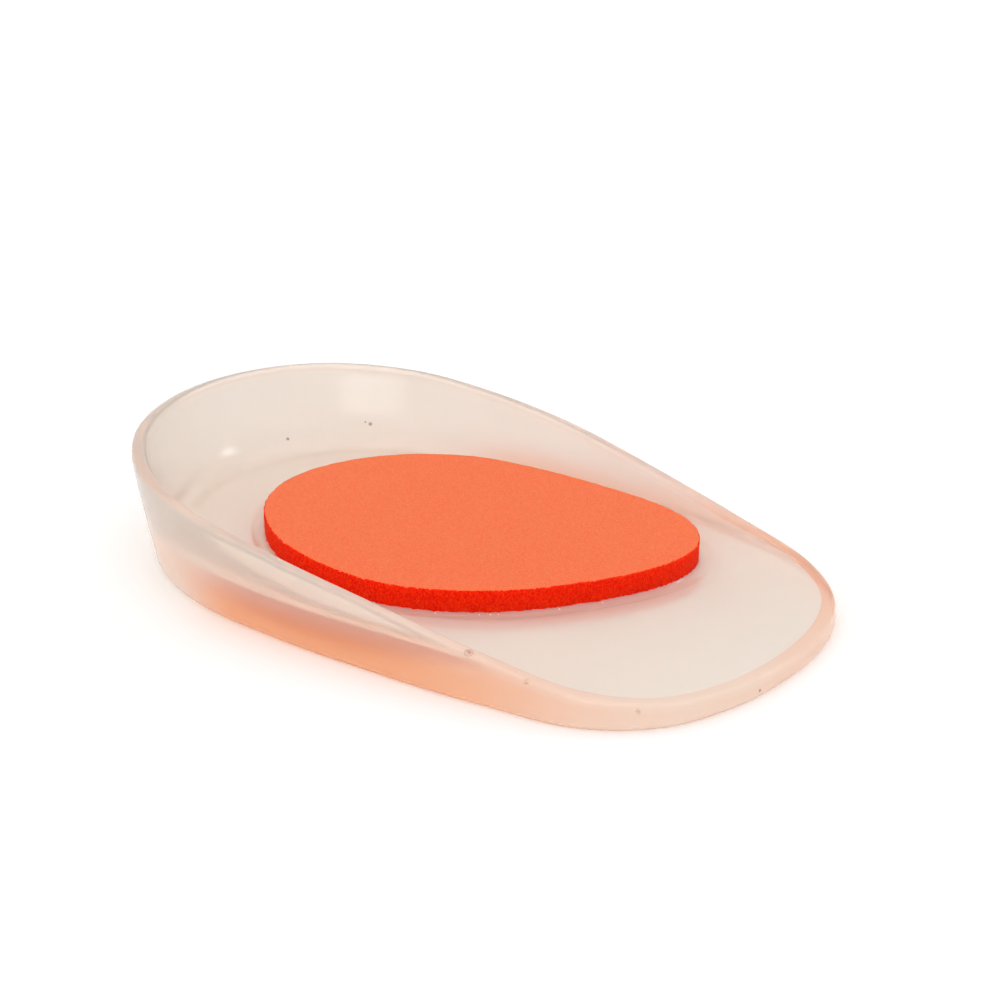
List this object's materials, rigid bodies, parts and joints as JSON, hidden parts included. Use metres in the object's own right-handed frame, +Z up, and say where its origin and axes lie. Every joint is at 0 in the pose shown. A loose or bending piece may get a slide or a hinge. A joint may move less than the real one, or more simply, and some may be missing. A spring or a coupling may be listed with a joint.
{
  "type": "heel cup",
  "caption": "Clear gel heel cup with a raised rim round the heel, a thin front edge and a soft round-cornered foam pad set in its floor.",
  "frame": {"origin": "on the flat underside, under the middle of the cup's box", "axes": "+X towards the thin toe end, +Y to the left, +Z up out of the flat underside"},
  "size_m": [0.105, 0.0662, 0.0174],
  "materials": {
    "gel": "clear, slightly creamy moulded gel elastomer with a smooth satin skin and small bubbles",
    "foam": "matte orange microcellular urethane foam, with a speckled top face and a deeper red die-cut side"
  },
  "bodies": {
    "root": {"gel_cup": "gel", "foam_pad": "foam"}
  },
  "joints": []
}
